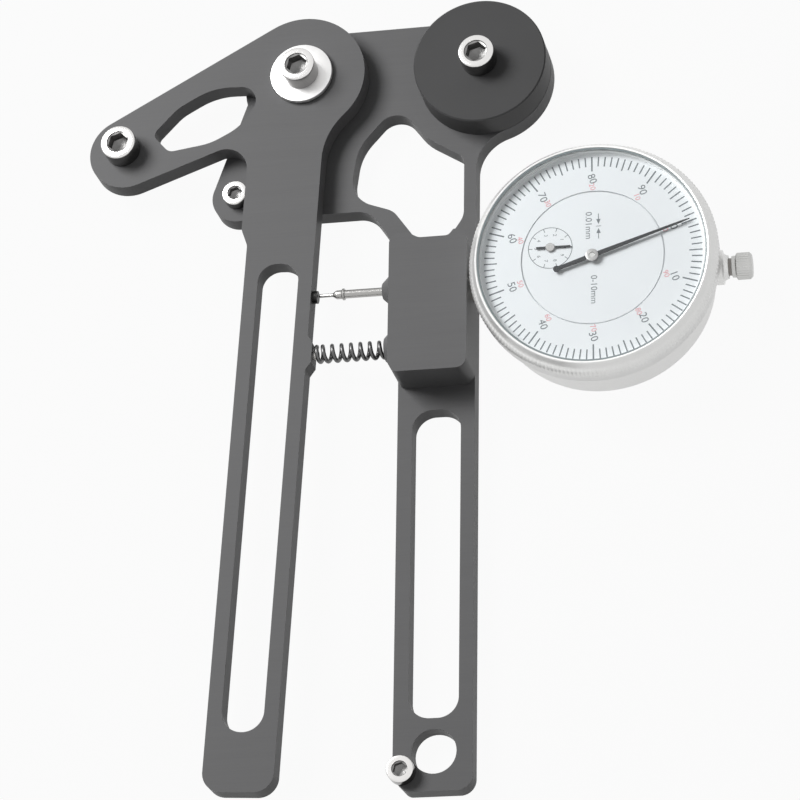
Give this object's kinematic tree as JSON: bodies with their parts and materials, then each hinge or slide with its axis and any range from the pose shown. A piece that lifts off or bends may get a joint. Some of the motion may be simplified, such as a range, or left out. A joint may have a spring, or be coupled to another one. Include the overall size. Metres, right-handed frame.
{
  "type": "spoke tension meter",
  "caption": "Flat two-arm spring tool with three round posts that bend a spoke, and a dial gauge that reads how far the arms move.",
  "frame": {"origin": "on the pivot axis of the two arms, in the back face of the rear frame", "axes": "+Y along the rear handle towards the head, +X from the pivot towards the gauge, +Z out of the plates towards the dial's face; at rest the arms stand open against their stop"},
  "size_m": [0.158, 0.1911, 0.0214],
  "materials": {
    "anodised_plate": "satin, fine straight grain",
    "anodised_boss": "satin, turned",
    "bright_steel": "bright, machined",
    "steel": "ground",
    "spring_steel": "oiled dark wire",
    "brass": "lacquered",
    "dial_paint": "satin white",
    "needle_paint": "matt black",
    "bezel_metal": "satin plating",
    "crystal": "clear"
  },
  "bodies": {
    "frame": {"rear_frame": "anodised_plate", "boss_spacer": "anodised_boss", "boss_screw": "bright_steel", "pivot_screw": "bright_steel", "pivot_washer": "bright_steel", "pivot_bush": "brass", "thrust_washer": "brass", "opening_stop_screw": "bright_steel", "closing_stop_screw": "bright_steel", "block_spring_pin": "steel", "return_spring": "spring_steel", "gauge_case": "bezel_metal", "back_cover": "bezel_metal", "cover_screws": "steel", "stem": "steel", "stem_bushes": "brass", "stem_clamp_screw": "spring_steel", "neck_bush": "steel", "guide_rail": "brass", "lower_plate": "brass", "upper_plate": "brass", "movement_pillars": "steel", "hairspring": "spring_steel", "inner_dial": "dial_paint"},
    "arm": {"front_arm": "anodised_plate", "nose_screw": "bright_steel", "contact_pad": "spring_steel", "arm_spring_pin": "steel"},
    "plunger": {"spindle": "steel", "contact_point": "bright_steel", "lifting_knob": "steel", "guide_pin": "steel"},
    "main_hand": {"centre_arbor": "steel", "main_needle": "needle_paint", "needle_hub": "bezel_metal"},
    "revolution_hand": {"drive_arbor": "steel", "drive_wheel": "brass", "revolution_needle": "needle_paint"},
    "take_up": {"take_up_wheel": "brass"},
    "bezel_ring": {"bezel": "bezel_metal", "dial_ring": "dial_paint", "retaining_ring": "bezel_metal", "crystal": "crystal"}
  },
  "joints": [
    {"name": "arm_hinge", "type": "hinge", "parent": "frame", "child": "arm", "pos_m": [0, 0, 0.0078], "axis": [0, 0, 1], "range_deg": [0, 8.15], "stiffness_Nm_per_rad": 20, "springref_deg": -1.72, "deforming": ["return_spring"]},
    {"name": "spindle_slide", "type": "slide", "parent": "frame", "child": "plunger", "axis": [1, 0, 0], "range_m": [0, 0.0085]},
    {"name": "main_hand_spin", "type": "hinge", "parent": "frame", "child": "main_hand", "pos_m": [0.071, -0.0568, 0.0198], "axis": [0, 0, 1], "range_deg": [-3000, 0]},
    {"name": "revolution_hand_spin", "type": "hinge", "parent": "frame", "child": "revolution_hand", "pos_m": [0.0613, -0.05381, 0.0193], "axis": [0, 0, 1], "range_deg": [0, 300]},
    {"name": "take_up_spin", "type": "hinge", "parent": "frame", "child": "take_up", "pos_m": [0.0807, -0.05979, 0.0138], "axis": [0, 0, 1], "range_deg": [0, 300]},
    {"name": "bezel_turn", "type": "hinge", "parent": "frame", "child": "bezel_ring", "pos_m": [0.071, -0.0568, 0.0165], "axis": [0, 0, 1], "continuous": true}
  ],
  "couplings": [
    {"joint": "spindle_slide", "follows": "arm_hinge", "m_per_rad": 0.0568},
    {"joint": "main_hand_spin", "follows": "arm_hinge", "ratio": -356.88},
    {"joint": "revolution_hand_spin", "follows": "arm_hinge", "ratio": 35.688},
    {"joint": "take_up_spin", "follows": "arm_hinge", "ratio": 35.688}
  ]
}
